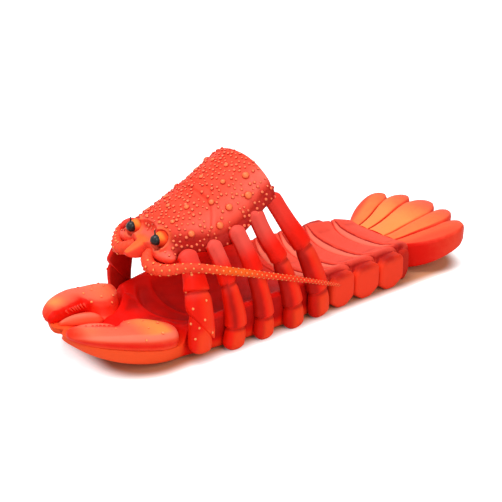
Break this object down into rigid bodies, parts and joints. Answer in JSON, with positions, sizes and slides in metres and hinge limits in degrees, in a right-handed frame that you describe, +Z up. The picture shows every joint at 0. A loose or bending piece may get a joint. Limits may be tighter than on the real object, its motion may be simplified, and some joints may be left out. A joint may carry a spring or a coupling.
{
  "type": "slide sandal",
  "caption": "Moulded slide sandal in the form of a lobster: claws on the toe, arched shell upper on jointed leg straps, ribbed heel and tail fan",
  "frame": {"origin": "middle of the footprint, on the ground", "axes": "+Z up, toe toward -Y, tail toward +Y, +X is the left side of the sandal"},
  "size_m": [0.1206, 0.35, 0.118],
  "materials": {
    "shell_red": "soft satin foam, pebbled",
    "leg_red": "soft satin foam",
    "claw_red": "soft satin foam, airbrushed orange",
    "footbed_red": "soft matt foam",
    "abdomen_salmon": "soft matt foam",
    "fan_orange": "soft satin foam, airbrushed yellow",
    "stalk_orange": "soft satin foam",
    "eye_black": "gloss"
  },
  "bodies": {
    "root": {"sole_front": "footbed_red", "carapace": "shell_red", "abdomen_segment_1": "abdomen_salmon", "abdomen_segment_2": "abdomen_salmon", "abdomen_segment_3": "abdomen_salmon", "abdomen_segment_4": "abdomen_salmon", "telson": "fan_orange", "claw_palm_left": "claw_red", "claw_finger_left": "claw_red", "uropod_inner_left": "fan_orange", "uropod_outer_left": "fan_orange", "antenna_left": "claw_red", "eyestalk_left": "stalk_orange", "eye_left": "eye_black", "claw_arm_left": "leg_red", "leg_1_left": "leg_red", "leg_2_left": "leg_red", "leg_3_left": "leg_red", "leg_4_left": "leg_red", "claw_palm_right": "claw_red", "claw_finger_right": "claw_red", "uropod_inner_right": "fan_orange", "uropod_outer_right": "fan_orange", "antenna_right": "claw_red", "eyestalk_right": "stalk_orange", "eye_right": "eye_black", "claw_arm_right": "leg_red", "leg_1_right": "leg_red", "leg_2_right": "leg_red", "leg_3_right": "leg_red", "leg_4_right": "leg_red"}
  },
  "joints": []
}
